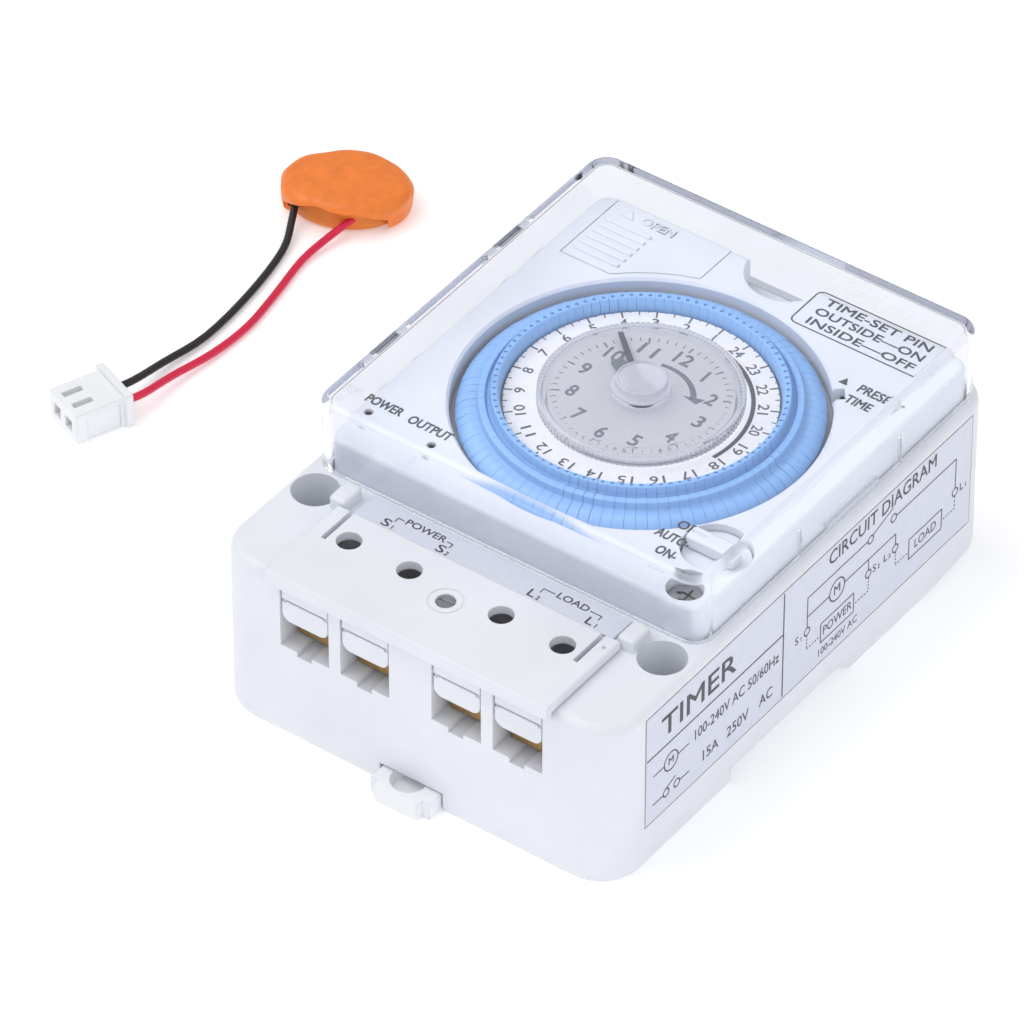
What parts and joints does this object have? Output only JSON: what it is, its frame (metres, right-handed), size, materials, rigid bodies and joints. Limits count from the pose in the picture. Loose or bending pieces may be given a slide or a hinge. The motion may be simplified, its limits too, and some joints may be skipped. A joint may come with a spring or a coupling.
{
  "type": "programmable timer switch",
  "caption": "Programmable timer switch: rail-mount case, clear lid, 24-hour dial with pin ring, mode knob, screw terminals and a backup battery lead.",
  "frame": {"origin": "middle of the footprint, on the wall face the case lies on", "axes": "+X to the reader's right, +Y towards the dial's 12, +Z out of the dial"},
  "size_m": [0.1547, 0.1319, 0.0486],
  "materials": {
    "case_plastic": "fine satin moulded",
    "clear_plastic": "clear gloss",
    "knob_plastic": "clear gloss",
    "printed_label": "printed film",
    "white_dial": "printed satin",
    "blue_plastic": "satin",
    "nylon": "natural",
    "dark_plastic": "matt",
    "hand_black": "satin",
    "brass": "worn",
    "steel": "zinc plated",
    "board": "solder resist",
    "sleeve_orange": "shrink sleeve",
    "wire_black": "satin",
    "wire_red": "satin",
    "led_red": "clear lens",
    "led_green": "clear lens"
  },
  "bodies": {
    "case": {"base_housing": "case_plastic", "front_housing": "case_plastic", "rating_label": "printed_label", "terminal_label": "printed_label", "contact_bar_1": "brass", "contact_bar_2": "brass", "contact_bar_3": "brass", "contact_bar_4": "brass", "circuit_board": "board", "output_switch": "dark_plastic", "battery_header": "nylon", "header_pin_a": "brass", "header_pin_b": "brass", "drive_motor": "steel", "dial_plate_12h": "white_dial", "power_led": "led_red", "output_led": "led_green", "housing_screw": "steel", "hinge_pin_front": "steel", "hinge_pin_back": "steel"},
    "cover": {"clear_cover": "clear_plastic"},
    "terminal_lid": {"terminal_cover": "case_plastic", "cover_screw": "steel"},
    "clip": {"rail_clip": "nylon"},
    "mode_switch": {"mode_knob": "case_plastic"},
    "door": {"battery_door": "case_plastic"},
    "day_dial": {"dial_gear": "nylon", "dial_carrier": "nylon", "pin_ring": "blue_plastic", "dial_plate_24h": "white_dial", "set_disc": "clear_plastic"},
    "hour": {"hour_hand": "hand_black"},
    "minute": {"minute_arbor": "steel", "minute_hand": "hand_black", "centre_knob": "knob_plastic"},
    "pinion": {"drive_pinion": "brass", "pinion_shaft": "steel"},
    "battery_lead": {"battery_sleeve": "sleeve_orange", "battery_cell_a": "sleeve_orange", "battery_cell_b": "sleeve_orange", "black_wire": "wire_black", "red_wire": "wire_red", "plug_housing": "nylon", "plug_contact_a": "brass", "plug_contact_b": "brass"},
    "flap_1": {"entry_flap_1": "case_plastic"},
    "clamp_body_1": {"clamp_1": "brass"},
    "screw_1": {"terminal_screw_1": "steel"},
    "flap_2": {"entry_flap_2": "case_plastic"},
    "clamp_body_2": {"clamp_2": "brass"},
    "screw_2": {"terminal_screw_2": "steel"},
    "flap_3": {"entry_flap_3": "case_plastic"},
    "clamp_body_3": {"clamp_3": "brass"},
    "screw_3": {"terminal_screw_3": "steel"},
    "flap_4": {"entry_flap_4": "case_plastic"},
    "clamp_body_4": {"clamp_4": "brass"},
    "screw_4": {"terminal_screw_4": "steel"}
  },
  "joints": [
    {"name": "cover_hinge", "type": "hinge", "parent": "case", "child": "cover", "pos_m": [-0.0395, 0.0148, 0.0356], "axis": [0, -1, 0], "range_deg": [0, 110]},
    {"name": "terminal_lid_lift", "type": "slide", "parent": "case", "child": "terminal_lid", "axis": [0, 0, 1], "range_m": [0, 0.012]},
    {"name": "rail_clip_slide", "type": "slide", "parent": "case", "child": "clip", "axis": [0, -1, 0], "range_m": [0, 0.004], "stiffness_N_per_m": 400},
    {"name": "mode_turn", "type": "hinge", "parent": "case", "child": "mode_switch", "pos_m": [0.0312, -0.0113, 0.04], "axis": [0, 0, 1], "range_deg": [-30, 30]},
    {"name": "battery_door_lift", "type": "slide", "parent": "case", "child": "door", "axis": [0, 0, 1], "range_m": [0, 0.005]},
    {"name": "dial_spin", "type": "hinge", "parent": "case", "child": "day_dial", "pos_m": [0, 0.0116, 0.042], "axis": [0, 0, -1], "continuous": true},
    {"name": "hour_hand_spin", "type": "hinge", "parent": "case", "child": "hour", "pos_m": [0, 0.0116, 0.042], "axis": [0, 0, -1], "continuous": true},
    {"name": "minute_hand_spin", "type": "hinge", "parent": "case", "child": "minute", "pos_m": [0, 0.0116, 0.042], "axis": [0, 0, -1], "continuous": true},
    {"name": "pinion_spin", "type": "hinge", "parent": "case", "child": "pinion", "pos_m": [0, -0.0154, 0.0375], "axis": [0, 0, -1], "continuous": true},
    {"name": "battery_lead_lift", "type": "slide", "parent": "case", "child": "battery_lead", "axis": [0, 0, 1], "range_m": [0, 0.03]},
    {"name": "flap_1_hinge", "type": "hinge", "parent": "terminal_lid", "child": "flap_1", "pos_m": [-0.02175, -0.0525, 0.029], "axis": [1, 0, 0], "range_deg": [0, 35], "stiffness_Nm_per_rad": 0.0004},
    {"name": "screw_1_turn", "type": "hinge", "parent": "case", "child": "screw_1", "pos_m": [-0.02175, -0.0428, 0.032], "axis": [0, 0, -1], "range_deg": [0, 720]},
    {"name": "clamp_1_rise", "type": "slide", "parent": "case", "child": "clamp_body_1", "axis": [0, 0, 1], "range_m": [0, 0.0023]},
    {"name": "flap_2_hinge", "type": "hinge", "parent": "terminal_lid", "child": "flap_2", "pos_m": [-0.00935, -0.0525, 0.029], "axis": [1, 0, 0], "range_deg": [0, 35], "stiffness_Nm_per_rad": 0.0004},
    {"name": "screw_2_turn", "type": "hinge", "parent": "case", "child": "screw_2", "pos_m": [-0.00935, -0.0428, 0.032], "axis": [0, 0, -1], "range_deg": [0, 720]},
    {"name": "clamp_2_rise", "type": "slide", "parent": "case", "child": "clamp_body_2", "axis": [0, 0, 1], "range_m": [0, 0.0023]},
    {"name": "flap_3_hinge", "type": "hinge", "parent": "terminal_lid", "child": "flap_3", "pos_m": [0.00935, -0.0525, 0.029], "axis": [1, 0, 0], "range_deg": [0, 35], "stiffness_Nm_per_rad": 0.0004},
    {"name": "screw_3_turn", "type": "hinge", "parent": "case", "child": "screw_3", "pos_m": [0.00935, -0.0428, 0.032], "axis": [0, 0, -1], "range_deg": [0, 720]},
    {"name": "clamp_3_rise", "type": "slide", "parent": "case", "child": "clamp_body_3", "axis": [0, 0, 1], "range_m": [0, 0.0023]},
    {"name": "flap_4_hinge", "type": "hinge", "parent": "terminal_lid", "child": "flap_4", "pos_m": [0.02175, -0.0525, 0.029], "axis": [1, 0, 0], "range_deg": [0, 35], "stiffness_Nm_per_rad": 0.0004},
    {"name": "screw_4_turn", "type": "hinge", "parent": "case", "child": "screw_4", "pos_m": [0.02175, -0.0428, 0.032], "axis": [0, 0, -1], "range_deg": [0, 720]},
    {"name": "clamp_4_rise", "type": "slide", "parent": "case", "child": "clamp_body_4", "axis": [0, 0, 1], "range_m": [0, 0.0023]}
  ],
  "couplings": [
    {"joint": "hour_hand_spin", "follows": "dial_spin", "ratio": 2},
    {"joint": "minute_hand_spin", "follows": "dial_spin", "ratio": 24},
    {"joint": "pinion_spin", "follows": "dial_spin", "ratio": -8},
    {"joint": "screw_1_turn", "follows": "clamp_1_rise", "rad_per_m": 5463.5},
    {"joint": "screw_2_turn", "follows": "clamp_2_rise", "rad_per_m": 5463.5},
    {"joint": "screw_3_turn", "follows": "clamp_3_rise", "rad_per_m": 5463.5},
    {"joint": "screw_4_turn", "follows": "clamp_4_rise", "rad_per_m": 5463.5}
  ]
}
